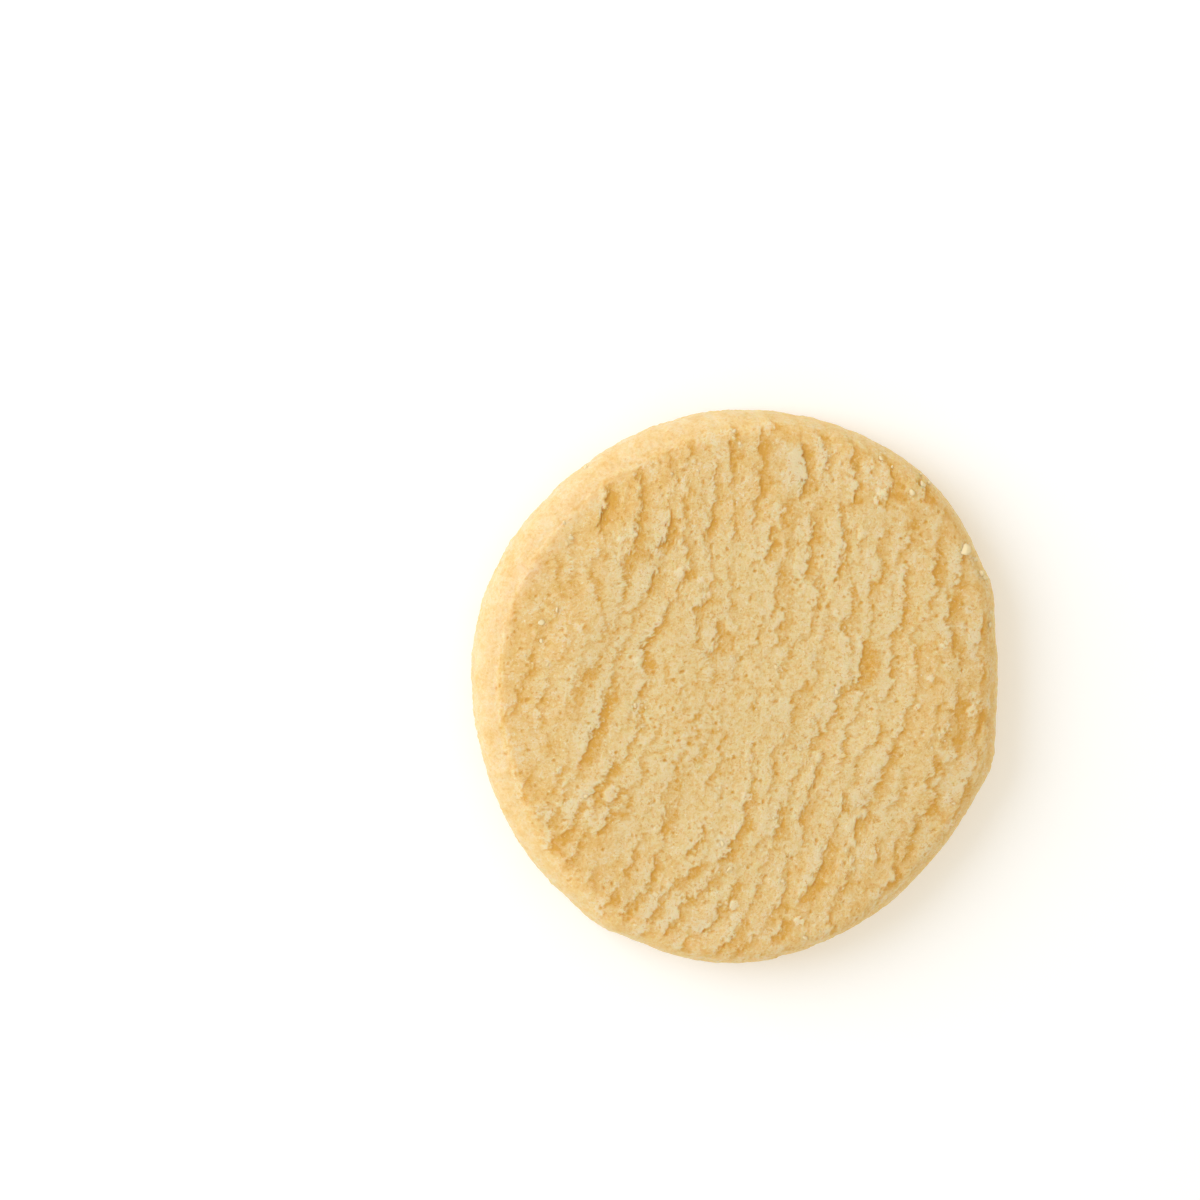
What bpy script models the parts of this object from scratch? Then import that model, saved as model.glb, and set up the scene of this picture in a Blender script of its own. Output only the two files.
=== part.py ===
"""A round wire-cut shortbread biscuit: one solid of baked dough, lying on its flat base.

The cutting wire leaves overlapping torn ridges over the top face, the shoulder and the foot are
rounded and smooth, and the outline is a slightly uneven circle. Metres, +Z up, the origin at
the bottom centre. Run with: blender --background --python part.py
"""

import math

import bmesh
import bpy
from mathutils import Matrix, Vector, noise

MM = 0.001

# Outline: a circle with a few low waves round it, as (waves per turn, height, place of a crest),
# and where the cut edge was dragged out, small bulges, as (place, height, half of the width).
MEAN_RADIUS = 29.5 * MM
OUTLINE_WAVES = (
    (2, 0.53 * MM, math.radians(76)),
    (3, 0.27 * MM, math.radians(39)),
    (4, 0.14 * MM, math.radians(-27)),
    (5, 0.10 * MM, math.radians(-29)),
    (6, 0.14 * MM, math.radians(-21)),
)
OUTLINE_BULGES = (
    (math.radians(20), 0.55 * MM, math.radians(5)),
    (math.radians(-18), 0.60 * MM, math.radians(6)),
    (math.radians(-56), 0.25 * MM, math.radians(10)),
    (math.radians(-94), 0.20 * MM, math.radians(10)),
    (math.radians(-121), 0.35 * MM, math.radians(5)),
)

# Side: a broad shoulder above the widest line and a tight foot below it, both superellipses.
THICKNESS = 8.4 * MM
WIDEST_HEIGHT = 3.2 * MM
SHOULDER_DEPTH = 2.9 * MM
FOOT_DEPTH = 1.2 * MM
ROUNDNESS = 2.5  # exponent of the superellipse: 2 is an ellipse, more is squarer

# Ridges: torn by the wire on its way across, each rising gently and ending in a steep drop.
WIRE_HEADING = math.radians(-16)  # the ridges run square to it
RIDGE_PITCH = 2.7 * MM
RIDGE_HEIGHT = 0.75 * MM
RISE_SHARE = 0.7  # of the pitch, and the drop takes the rest
RIDGE_BOW = 1.75  # per metre: how far the ridges curve away from straight lines
WANDER = (0.9, 6.0 * MM)  # pitches that a ridge strays, and over what distance
RAGGEDNESS = (0.3, 2.2 * MM)
PATCHINESS = (0.9, 4.0 * MM)  # how much the height varies, and over what distance
FAINT_SIDE = (-22 * MM, -10 * MM)  # where the wire went in, the ridges are half as high
RIM_FADE = (0.9 * MM, 3.2 * MM)  # distance from the outline over which the ridges set in

# Where the wire went in and where it left, the face falls away towards its rim, as (depth, middle
# of the side, cosines of the angle from it between which the fall sets in, insets of its foot and
# of its top).
FALLS = (
    (1.0 * MM, math.radians(160), (0.2, 0.9), (1.0 * MM, 9.0 * MM)),
    (0.75 * MM, math.radians(-12), (0.45, 0.95), (1.0 * MM, 8.0 * MM)),
)

# The face as a whole is slightly uneven.
SWELL_HEIGHT = 0.3 * MM
SWELL_SIZE = 9 * MM

# Mesh: the top's grid is finer across the ridges than along them.
CELLS_ACROSS = 84
CELLS_ALONG = 28
GRID_EDGE_ANGLE = math.radians(54)  # how far up the shoulder the grid of the top begins
SHOULDER_RINGS = 4
FOOT_RINGS = 3

CRUST_COLOUR = (0.753, 0.533, 0.231, 1.0)
CRUST_ROUGHNESS = 0.75


def remove_everything():
    """Empties the scene that the script was started in."""
    for thing in list(bpy.data.objects):
        bpy.data.objects.remove(thing, do_unlink=True)


def ramp(start, end, value):
    """0 below start, 1 above end, and a smooth step between them."""
    t = min(max((value - start) / (end - start), 0.0), 1.0)
    return t * t * (3 - 2 * t)


def unevenness(x, y, size, layer):
    """Smooth noise of about -1 to 1 with features of the given size; each layer is another."""
    return noise.noise(Vector((x / size, y / size, layer * 7.3)))


def outline_radius(direction):
    """Distance from the centre to the widest line."""
    radius = MEAN_RADIUS
    for count, height, crest in OUTLINE_WAVES:
        radius += height * math.cos(count * (direction - crest))
    for place, height, half_width in OUTLINE_BULGES:
        away = math.remainder(direction - place, 2 * math.pi) / half_width
        radius += height * math.exp(-(away**2))
    return radius


def shoulder_point(angle):
    """(inset, height) on the shoulder: at 0 on the widest line, at 90 degrees on the face."""
    inset = SHOULDER_DEPTH * (1 - math.cos(angle) ** (2 / ROUNDNESS))
    rise = (THICKNESS - WIDEST_HEIGHT) * math.sin(angle) ** (2 / ROUNDNESS)
    return inset, WIDEST_HEIGHT + rise


def foot_point(angle):
    """(inset, height) on the foot: at 0 on the widest line, at 90 degrees on the base."""
    inset = FOOT_DEPTH * (1 - max(math.cos(angle), 0.0) ** (2 / ROUNDNESS))
    return inset, WIDEST_HEIGHT * (1 - math.sin(angle) ** (2 / ROUNDNESS))


def face_height(inset):
    """Height of the face and the shoulder, without their ridges, at that inset."""
    outwards = min(max(1 - inset / SHOULDER_DEPTH, 0.0), 1.0)
    rise = (1 - outwards**ROUNDNESS) ** (1 / ROUNDNESS)
    return WIDEST_HEIGHT + (THICKNESS - WIDEST_HEIGHT) * rise


def fallen(height, direction, inset):
    """That height once the falls have pressed the part above the widest line flatter."""
    fall = 0.0
    for depth, middle, cosines, insets in FALLS:
        fall += depth * ramp(*cosines, math.cos(direction - middle)) * (1 - ramp(*insets, inset))
    return WIDEST_HEIGHT + (height - WIDEST_HEIGHT) * (1 - fall / (THICKNESS - WIDEST_HEIGHT))


def ridge_height(across, along):
    """A sawtooth whose teeth wander, vary in height and drop on the side that faces +across."""
    turns = (across + RIDGE_BOW * along**2) / RIDGE_PITCH
    turns += WANDER[0] * unevenness(across, along, WANDER[1], 0)
    turns += RAGGEDNESS[0] * unevenness(across, along, RAGGEDNESS[1], 1)
    place = turns % 1.0
    if place < RISE_SHARE:
        level = place / RISE_SHARE
    else:
        level = (1 - place) / (1 - RISE_SHARE)
    strength = 0.7 + PATCHINESS[0] * unevenness(across, along, PATCHINESS[1], 2)
    return RIDGE_HEIGHT * max(strength, 0.0) * (level - 0.5)


def relief(x, y, inset):
    """How far the torn face stands above or below its mean height."""
    across = x * math.cos(WIRE_HEADING) + y * math.sin(WIRE_HEADING)
    along = y * math.cos(WIRE_HEADING) - x * math.sin(WIRE_HEADING)
    strength = ramp(*RIM_FADE, inset) * (0.5 + 0.5 * ramp(*FAINT_SIDE, across))
    swell = SWELL_HEIGHT * unevenness(x, y, SWELL_SIZE, 3) * ramp(0, RIM_FADE[1], inset)
    return strength * ridge_height(across, along) + swell


def face_grid(mesh):
    """The top: a square grid pressed into the outline, turned to the ridges and raised."""
    bmesh.ops.create_grid(mesh, x_segments=CELLS_ACROSS, y_segments=CELLS_ALONG, size=1)
    edge_inset = shoulder_point(GRID_EDGE_ANGLE)[0]
    for vertex in mesh.verts:
        a, b = vertex.co.x, vertex.co.y
        disc = Vector((a * math.sqrt(1 - b * b / 2), b * math.sqrt(1 - a * a / 2)))
        direction = math.atan2(disc.y, disc.x) + WIRE_HEADING
        radius = outline_radius(direction)
        distance = disc.length * (radius - edge_inset)
        x, y = distance * math.cos(direction), distance * math.sin(direction)
        inset = radius - distance
        height = fallen(face_height(inset), direction, inset)
        vertex.co = (x, y, height + relief(x, y, inset))


def side_rings(mesh):
    """The shoulder and the foot: the grid's border drawn down ring by ring to the base."""
    rings = [
        shoulder_point(GRID_EDGE_ANGLE * (1 - k / SHOULDER_RINGS))
        for k in range(1, SHOULDER_RINGS + 1)
    ]
    rings += [foot_point(math.pi / 2 * k / FOOT_RINGS) for k in range(1, FOOT_RINGS + 1)]
    border = [edge for edge in mesh.edges if edge.is_boundary]
    for inset, height in rings:
        drawn = bmesh.ops.extrude_edge_only(mesh, edges=border)["geom"]
        border = [item for item in drawn if isinstance(item, bmesh.types.BMEdge)]
        for vertex in {v for edge in border for v in edge.verts}:
            direction = math.atan2(vertex.co.y, vertex.co.x)
            distance = outline_radius(direction) - inset
            above = height > WIDEST_HEIGHT
            level = fallen(height, direction, inset) if above else height
            vertex.co = (distance * math.cos(direction), distance * math.sin(direction), level)
    return border


def centre_on_origin(mesh):
    """Moves the solid so that the middle of its width and of its depth is on the Z axis."""
    for axis in (0, 1):
        places = [vertex.co[axis] for vertex in mesh.verts]
        shift = Vector((0, 0, 0))
        shift[axis] = -(min(places) + max(places)) / 2
        bmesh.ops.transform(mesh, matrix=Matrix.Translation(shift), verts=mesh.verts)


def crust_material():
    """Pale golden baked dough."""
    material = bpy.data.materials.new("baked_dough")
    material.use_nodes = True
    shader = material.node_tree.nodes["Principled BSDF"]
    shader.inputs["Base Color"].default_value = CRUST_COLOUR
    shader.inputs["Roughness"].default_value = CRUST_ROUGHNESS
    shader.inputs["Metallic"].default_value = 0.0
    return material


def build_biscuit():
    """One closed solid: the ridged face, its rounded side, and the flat base that it lies on."""
    mesh = bmesh.new()
    face_grid(mesh)
    base_edge = side_rings(mesh)
    bmesh.ops.contextual_create(mesh, geom=base_edge)
    bmesh.ops.recalc_face_normals(mesh, faces=mesh.faces)
    centre_on_origin(mesh)
    data = bpy.data.meshes.new("biscuit")
    mesh.to_mesh(data)
    mesh.free()
    data.shade_smooth()
    data.materials.append(crust_material())
    biscuit = bpy.data.objects.new("biscuit", data)
    bpy.context.scene.collection.objects.link(biscuit)
    return biscuit


remove_everything()
build_biscuit()
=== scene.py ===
import math

import bpy
import numpy as np
from mathutils import Matrix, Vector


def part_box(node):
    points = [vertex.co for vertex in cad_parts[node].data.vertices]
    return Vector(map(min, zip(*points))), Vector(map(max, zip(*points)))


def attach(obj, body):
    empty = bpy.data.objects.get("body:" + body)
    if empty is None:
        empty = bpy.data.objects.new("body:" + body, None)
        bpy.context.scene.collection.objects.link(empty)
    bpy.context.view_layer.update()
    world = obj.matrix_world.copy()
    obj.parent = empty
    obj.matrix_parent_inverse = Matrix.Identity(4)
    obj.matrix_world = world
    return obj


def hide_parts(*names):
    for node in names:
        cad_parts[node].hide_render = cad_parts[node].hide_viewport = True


# A round wire-cut shortbread biscuit: one dense closed mesh around the solid, with loose crumbs
# on it. Lengths in the dictionaries are in mm unless a note says otherwise.

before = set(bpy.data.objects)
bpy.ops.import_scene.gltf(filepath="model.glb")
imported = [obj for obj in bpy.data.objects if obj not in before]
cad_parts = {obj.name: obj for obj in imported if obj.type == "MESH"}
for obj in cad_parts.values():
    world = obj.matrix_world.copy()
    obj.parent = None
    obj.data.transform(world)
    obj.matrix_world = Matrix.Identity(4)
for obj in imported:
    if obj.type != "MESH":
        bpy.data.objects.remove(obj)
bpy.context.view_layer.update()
mm = 0.001
solidLow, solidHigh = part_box("biscuit")
print("frame loaded")

latticeCells = 256  # the patterns repeat after so many cells
hillGain = 1.6  # brings the hills near to heights from -1 to 1


# 0 below start, 1 above end, and 3t^2 - 2t^3 between them
def ease(start, end, value):
    t = np.clip((value - start) / (end - start), 0, 1)
    return t * t * (3 - 2 * t)


# gradient noise: each lattice corner has a slope in a random direction, and a point blends the
# four slopes around it by 6t^5 - 15t^4 + 10t^3; stretch makes the features longer along y
def hills(x, y, cell, seed, stretch=1.0):
    turn = np.random.default_rng(seed).uniform(0, 2 * np.pi, (latticeCells, latticeCells))
    slopeX, slopeY = np.cos(turn), np.sin(turn)
    x, y = x / cell, y / (cell * stretch)
    i, j = np.floor(x).astype(int), np.floor(y).astype(int)
    x, y = x - i, y - j
    easeX = x * x * x * (x * (x * 6 - 15) + 10)
    easeY = y * y * y * (y * (y * 6 - 15) + 10)

    def corner(di, dj):
        at = (j + dj) % latticeCells, (i + di) % latticeCells
        return slopeX[at] * (x - di) + slopeY[at] * (y - dj)

    low = corner(0, 0) + (corner(1, 0) - corner(0, 0)) * easeX
    high = corner(0, 1) + (corner(1, 1) - corner(0, 1)) * easeX
    return hillGain * (low + (high - low) * easeY)


# hills of several sizes added up, each given as height, size, seed and, if it isn't 1, stretch
def layered(x, y, layers):
    return sum(height * hills(x, y, size, seed, *stretch) for height, size, seed, *stretch in layers)


# scattered points, one in each cell: distance to the nearest, in cells, a random number from 0 to
# 1 that belongs to it, and its place
def clods(x, y, cell, seed):
    random = np.random.default_rng(seed)
    lattice = (latticeCells, latticeCells)
    offX, offY = random.uniform(0, 1, lattice), random.uniform(0, 1, lattice)
    mark = random.uniform(0, 1, lattice)
    x, y = x / cell, y / cell
    i, j = np.floor(x).astype(int), np.floor(y).astype(int)
    nearest = np.full(x.shape, np.inf)
    which, atX, atY = np.zeros(x.shape), np.zeros(x.shape), np.zeros(x.shape)
    for di in (-1, 0, 1):
        for dj in (-1, 0, 1):
            at = (j + dj) % latticeCells, (i + di) % latticeCells
            pointX, pointY = i + di + offX[at], j + dj + offY[at]
            away = np.hypot(pointX - x, pointY - y)
            closer = away < nearest
            which, nearest = np.where(closer, mark[at], which), np.where(closer, away, nearest)
            atX, atY = np.where(closer, pointX, atX), np.where(closer, pointY, atY)
    return nearest, which, atX * cell, atY * cell


# x and y from distance and direction
def polar(distance, direction):
    return distance * np.cos(direction), distance * np.sin(direction)


# points from distance from the Z axis, direction and height
def around(distance, direction, height):
    return np.stack([*polar(distance, direction), height], axis=-1)


# blur of a grid by a bell curve of that many cells, cut off at 2.5 times as many, the border
# repeated outwards
def soften(grid, cells):
    reach = int(math.ceil(2.5 * cells))
    bell = np.exp(-0.5 * (np.arange(-reach, reach + 1) / cells) ** 2)
    bell /= bell.sum()
    for axis in (0, 1):
        padded = np.pad(grid, [(reach, reach) if a == axis else (0, 0) for a in (0, 1)], "edge")
        size = grid.shape[axis]
        total = 0
        for k, weight in enumerate(bell):
            total = total + weight * np.take(padded, range(k, k + size), axis=axis)
        grid = total
    return grid


# the small ridges; layers of hills are given as height, size, seed and stretch along the ridges
ridges = {
    "pitch": 2.8,  # from ridge to ridge
    "heading": -16,  # degrees from +X: the way the wire moved
    "bow": 0.0050,  # per mm: how the ridges curve
    "height": 0.072,  # one standard deviation
    "tearing": 0.60,  # how far the waves lean over before they break
    "waveGain": 1.4,  # brings the waves' standard deviation near 1
    "wander": [(0.70, 9, 21, 1.8), (0.32, 3.6, 22, 1.8), (0.13, 1.2, 25, 1.2)],  # in pitches
    "patches": [(0.95, 3.0, 26, 1.7)],  # how the waves' height changes, about its mean
    "patchMean": 0.7,
    "patchLimits": (0.03, 1.6),
    "crumb": [(1, 2.24, 28, 2.0), (0.3, 1.12, 23, 1.6)],  # unevenness between the waves
    "crumbShare": 0.25,
    "softness": 0.8,  # cells of the raster
    "rasterHalf": 34.0,
    "rasterStep": 0.1,
    "fray": [(0.36, 3.0, 90, 0.7), (0.26, 1.4, 91, 0.8)],  # how the edges wander across the ridges
}

# the deep tears: x and y of the middle, length along the ridges, drop at the edge
tears = [
    (-15.3, 20.6, 6.2, 0.95), (-8.9, 17.3, 4.6, 0.75), (-10.2, 12.2, 3.6, 0.65), (-3.9, 21.0, 9.0, 0.45),
    (-3.4, 5.8, 4.8, 0.50), (-15.7, 6.8, 2.8, 0.45), (-23.4, 3.3, 3.0, 0.50), (1.3, 27.4, 3.2, 0.55),
    (1.0, 21.5, 6.0, 0.55), (6.1, 23.8, 5.6, 1.00), (2.5, 16.0, 4.2, 0.65), (11.7, 23.3, 6.6, 0.60),
    (10.6, 15.2, 7.0, 0.55), (6.8, 15.6, 7.2, 0.65), (15.7, 22.5, 3.0, 0.60), (14.8, 13.1, 3.0, 0.50),
    (17.3, 9.8, 8.2, 0.60), (22.2, 9.2, 3.8, 0.50), (12.6, 2.9, 5.8, 0.70), (3.2, 10.7, 6.2, 0.45),
    (-16.5, -3.8, 9.0, 0.65), (-12.2, -4.3, 7.0, 0.50), (-14.7, -12.6, 6.0, 0.65), (-18.7, -13.7, 5.0, 0.55),
    (-8.9, -13.7, 3.6, 0.55), (-5.2, -16.0, 4.2, 0.60), (-10.4, -20.4, 5.2, 0.55), (-7.3, -24.2, 5.6, 0.55),
    (-3.4, -24.4, 4.2, 0.60), (-1.6, -17.2, 2.6, 0.55), (9.8, -1.7, 6.4, 0.55), (7.9, -9.0, 5.4, 0.60),
    (15.6, -8.6, 6.8, 0.50), (13.1, -13.6, 4.0, 0.55), (11.0, -12.1, 2.4, 0.50), (20.7, -9.1, 5.0, 0.50),
    (23.0, -3.0, 8.0, 0.45), (26.2, 0.6, 5.0, 0.30), (25.6, -8.2, 4.6, 0.35), (18.5, -16.8, 5.2, 0.45),
    (7.9, -19.8, 8.4, 0.55), (3.6, -14.2, 4.4, 0.55), (11.6, -20.0, 4.6, 0.50), (4.2, -26.0, 3.2, 0.55),
]

tearShape = {
    "drop": 0.40,  # share of the listed drops that the face takes
    # over how much a plate rises to its edge and the hollow fills again, and their shares of the drop
    "plateRun": 2.6, "plateShare": 0.45,
    "hollowRun": 2.3, "hollowShare": 0.55,
    "power": 1.5,  # of the rise and of the filling
    "edge": (-0.12, 0.16), # across the edge: where the drop begins and ends
    "bend": 0.5,  # how far the ends of an edge lie behind its middle
    "taper": (1.15, 0.7),  # shares of half the length between which an edge fades
    "calming": 1.5,  # how far from an edge the small ridges are lower
}


# the plane turned so that its first coordinate runs the way the wire moved
def turnToWire(x, y):
    heading = math.radians(ridges["heading"])
    across = x * math.cos(heading) + y * math.sin(heading)
    return across, y * math.cos(heading) - x * math.sin(heading)


# position across and along the ridges, which bend away in a parabola
def ridgePlace(x, y):
    across, along = turnToWire(x, y)
    return across + ridges["bow"] * along**2, along


# the deep tears at each point, and how near one is from 0 to 1: up to the edge the plate rises as
# a power of the way, the edge drops within a quarter of a mm, and the hollow beyond it fills again
# by the same power; both ends taper away
def deepTears(across, along):
    power = tearShape["power"]
    height = np.zeros(across.shape)
    near = np.zeros(across.shape)
    for x, y, length, drop in tears:
        middle, centre = ridgePlace(x, y)
        t = (along - centre) / (length / 2)
        s = across - middle + tearShape["bend"] * t * t
        taper = ease(*tearShape["taper"], np.abs(t))
        edge = ease(*tearShape["edge"], s)
        plate = tearShape["plateShare"] * np.clip(1 + s / tearShape["plateRun"], 0, 1) ** power
        hollow = tearShape["hollowShare"] * np.clip(1 - s / tearShape["hollowRun"], 0, 1) ** power
        height += tearShape["drop"] * drop * taper * (plate * (1 - edge) - hollow * edge)
        near = np.maximum(near, taper * np.exp(-((s / tearShape["calming"]) ** 2)))
    return height, near


# waves lean towards +x until they break: every point moves on at a speed equal to its height,
# worked out in strides of at most 0.8 of a cell (Godunov's scheme for h_t + (h^2/2)_x = 0), the
# edges repeating
def leanOver(height, amount, step):
    done = 0.0
    while done < amount:
        stride = min(0.8 * step / np.abs(height).max(), amount - done)
        left = np.roll(height, 1, axis=1)
        flow = np.maximum(np.maximum(left, 0) ** 2, np.minimum(height, 0) ** 2) / 2
        height = height - stride / step * (np.roll(flow, -1, axis=1) - flow)
        done += stride
    return height


# cosine waves across x with a wandering phase and a patchy height, plus uneven crumb, leant over
def ridgeRaster():
    half, step, share = ridges["rasterHalf"], ridges["rasterStep"], ridges["crumbShare"]
    line = np.arange(round(2 * half / step)) * step + step / 2 - half
    x, y = np.meshgrid(line, line)
    turns = x / ridges["pitch"] + layered(x, y, ridges["wander"])
    patchy = np.clip(ridges["patchMean"] + layered(x, y, ridges["patches"]), *ridges["patchLimits"])
    waves = ridges["waveGain"] * np.cos(2 * np.pi * turns) * patchy
    rough = layered(x, y, ridges["crumb"])
    raised = waves * (1 - share) + rough / rough.std() * share
    return soften(leanOver(raised / raised.std(), ridges["tearing"], step), ridges["softness"])


smallRidges = ridgeRaster()
print("small ridges:", smallRidges.shape)


# value of a grid at fractional rows and columns, blended between its four nearest points, the
# edges repeating
def readGrid(grid, rows, columns):
    i, j = np.floor(rows).astype(int), np.floor(columns).astype(int)
    s, t = rows - i, columns - j
    if grid.ndim == 3:
        s, t = s[:, None], t[:, None]
    i, nextI, j, nextJ = (index % len(grid) for index in (i, i + 1, j, j + 1))
    near = grid[i, j] * (1 - t) + grid[i, nextJ] * t
    far = grid[nextI, j] * (1 - t) + grid[nextI, nextJ] * t
    return near * (1 - s) + far * s


# value of a square raster at each point
def readRaster(raster, x, y):
    half = ridges["rasterHalf"]
    step = 2 * half / len(raster)
    return readGrid(raster, (y + half) / step - 0.5, (x + half) / step - 0.5)


body = {
    "faceHeight": 8.4,
    "widestHeight": 3.2,
    "widestBand": 0.02,  # the outline is read this close to it
    "shoulderDepth": 2.9,
    "footDepth": 1.2,
    "roundness": 2.5,  # exponent of the superellipse of the shoulder and of the foot
    "faceCells": 256,  # cells along a side of the face's grid
    "shoulderRings": 11,
    "footRings": 11,
    "sideBumps": [(0.10, 2.6, 61), (0.09, 1.0, 62), (0.07, 0.5, 63)],  # height, size, seed
    "sideTones": [(0.30, 3.2, 64), (0.30, 1.3, 65), (0.25, 0.6, 66)],  # the same for the tone
    "sideRadius": 29.5,  # radius at which the side is unrolled for its noise
    "sideOverlap": 8,
    # degrees up the shoulder, below 0 down the foot
    "gridEdge": 54,  # where the grid of the face begins
    "fallEdge": 6,  # down to where the face's falling away is felt
    "tornEdge": (-15, 30), # where the torn look sets in
    "reliefEdge": (-10, 35),  # where the face's relief takes over from the side's bumps
    "bumpEdge": (-90, -70),  # where the side's bumps set in
}


# distance from the Z axis to the widest line in each direction, read from the solid's own
# outline: its points at that height, in order of direction and joined by straight lines
def outlineReader():
    points = np.zeros(len(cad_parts["biscuit"].data.vertices) * 3, np.float32)
    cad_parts["biscuit"].data.vertices.foreach_get("co", points)
    points = points.reshape(-1, 3) / mm
    wide = points[np.abs(points[:, 2] - body["widestHeight"]) < body["widestBand"]]
    turn = np.arctan2(wide[:, 1], wide[:, 0])
    order = np.argsort(turn)
    turn, radius = turn[order], np.hypot(wide[:, 0], wide[:, 1])[order]
    turn = np.concatenate([turn - 2 * np.pi, turn, turn + 2 * np.pi])
    radius = np.tile(radius, 3)

    def outline(direction):
        return np.interp(direction, turn, radius)

    return outline


outline = outlineReader()
print("outline from", outline(0.0), "to", outline(math.pi / 2))


# shoulder and foot as (inset, height, outward share and upward share of the normal) for an angle
# of 90 degrees on the face, 0 on the widest line and -90 on the base: a superellipse
def sideProfile(angle):
    n = body["roundness"]
    up = angle >= 0
    depth = np.where(up, body["shoulderDepth"], body["footDepth"])
    tall = np.where(up, body["faceHeight"] - body["widestHeight"], body["widestHeight"])
    cosine, sine = np.clip(np.cos(angle), 0, 1), np.sin(np.abs(angle))
    inset = depth * (1 - cosine ** (2 / n))
    height = body["widestHeight"] + np.where(up, 1, -1) * tall * sine ** (2 / n)
    outwards = (cosine ** (2 / n)) ** (n - 1) / depth
    upwards = np.where(up, 1, -1) * (sine ** (2 / n)) ** (n - 1) / tall
    length = np.hypot(outwards, upwards)
    return inset, height, outwards / length, upwards / length


# angle on the shoulder for an inset, the inverse of the above
def shoulderAngle(inset):
    share = np.clip(1 - inset / body["shoulderDepth"], 0, 1)
    return np.arccos(share ** (body["roundness"] / 2))


# a square grid pressed into a disc, squares about the centre becoming circles: the radius is the
# larger of the two coordinates, and the direction is 45 degrees times their ratio
def discGrid(cells):
    line = np.linspace(-1, 1, cells + 1)
    a, b = np.meshgrid(line, line)
    wide = np.abs(a) > np.abs(b)
    bottomA, bottomB = np.where(a == 0, 1, a), np.where(b == 0, 1, b)
    radius = np.where(wide, a, b)
    direction = np.where(wide, np.pi / 4 * b / bottomA, np.pi / 2 - np.pi / 4 * a / bottomB)
    return polar(radius, direction)


# the border of a grid of points, once round against the clock, as rows and columns
def borderOf(cells):
    k = np.arange(cells)
    rows = np.concatenate([k * 0, k, k * 0 + cells, cells - k])
    columns = np.concatenate([k, k * 0 + cells, cells - k, k * 0])
    return rows, columns


# directions in degrees round from +X
smoothRim = {"width": 0.45, "swing": 1.2, "towards": 152, "bulge": 1.5, "bulgeAt": 140, "bulgeSpread": 28}


# width of the smooth band inside the outline, which the wire didn't tear: a mean, a cosine of the
# direction and a bell curve of it
def smoothBand(direction):
    towards = np.cos(direction - math.radians(smoothRim["towards"]))
    bulge = np.exp(-((np.degrees(direction) - smoothRim["bulgeAt"]) / smoothRim["bulgeSpread"]) ** 2)
    return smoothRim["width"] + smoothRim["swing"] * towards + smoothRim["bulge"] * bulge


# the face falls away towards its edge: the most, the middle of the side in degrees, cosines of the
# angle from it between which the fall sets in, insets of its top and of its foot
falls = {
    "wireOut": (0.75, -12, (0.45, 0.95), (8, 1)),
    "wireIn": (1.1, 160, (0.2, 0.9), (11, 0.5)),
}


# share of one of the falls, from 0 to 1, eased in round the biscuit and towards its edge
def fallShare(side, direction, inset):
    _, middle, cosines, insets = falls[side]
    return ease(*cosines, np.cos(direction - math.radians(middle))) * ease(*insets, inset)


# all the falls together, in mm
def fallAway(direction, inset):
    return sum(falls[side][0] * fallShare(side, direction, inset) for side in falls)


# lumps of crumb: size, share that a place moves towards the lump's middle, height of its dome, seed
lumps = [(1.25, 0.30, 0.015, 61), (0.72, 0.50, 0.014, 62), (0.40, 0.70, 0.007, 63)]

# how far a lump's border wavers and the size of the hills that shift it, as shares of its size
lumpBorder = {"shift": 0.25, "wave": 0.6}


# the nearest lump of one size, read at a place shifted by hills, so that its border is wavy
def nearestLump(x, y, size, seed):
    shift, wave = lumpBorder["shift"] * size, lumpBorder["wave"] * size
    shiftX = shift * hills(x, y, wave, seed + 5)
    shiftY = shift * hills(x, y, wave, seed + 9)
    return clods(x + shiftX, y + shiftY, size, seed)


# the edge in cells, the share that of the cells that have one
# darkness: how much darker a pinhole is, painted shade in the pit
pinhole = {"spacing": 1.7, "seed": 39, "share": 0.45, "edge": (0.15, 0.05), "depth": 0.12, "darkness": 2.5}


# pinholes in the torn dough, from 0 to 1: a small disc about the point in some of the cells
def pinholes(x, y):
    away, mark, _, _ = clods(x, y, pinhole["spacing"], pinhole["seed"])
    return ease(*pinhole["edge"], away) * (mark < pinhole["share"])


# a patch with few ridges, where the crumb is coarse
quiet = {
    "middle": (-5, -1.5),
    "half": (9, 10),
    "fade": (1.2, 0.5),  # shares of the half between which it sets in
    "waver": [(0.3, 4.5, 58)],
}


# how quiet the face is, from 0 to 1: an ellipse with an uneven border
def quietPatch(x, y):
    away = [(p - middle) / half for p, middle, half in zip((x, y), quiet["middle"], quiet["half"])]
    return ease(*quiet["fade"], np.hypot(*away) + layered(x, y, quiet["waver"]))


# flakes of crumb stuck to the face: x and y of the middle, radius, height
flakes = [
    (-7.4, 13.1, 0.55, 0.16), (-4.4, 10.5, 0.50, 0.14), (-18.4, 7.4, 0.60, 0.14), (-11.8, 3.6, 0.45, 0.12),
    (25.2, -2.4, 0.65, 0.16), (0.2, -11.4, 0.60, 0.14), (14.7, 21.4, 0.60, 0.20), (-1.0, -23.1, 0.50, 0.14),
    (14.0, 20.7, 0.40, 0.14), (17.6, 16.3, 0.40, 0.12), (-5.2, 12.3, 0.35, 0.10), (21.8, 4.9, 0.45, 0.12),
    (20.4, 1.3, 0.40, 0.14), (22.6, -11.8, 0.45, 0.12), (6.2, -25.0, 0.50, 0.14), (-20.3, -8.2, 0.40, 0.10),
    (9.7, 8.5, 0.35, 0.10), (-13.9, 16.6, 0.40, 0.12), (3.9, 19.7, 0.45, 0.14), (18.9, -1.8, 0.35, 0.12),
]

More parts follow.
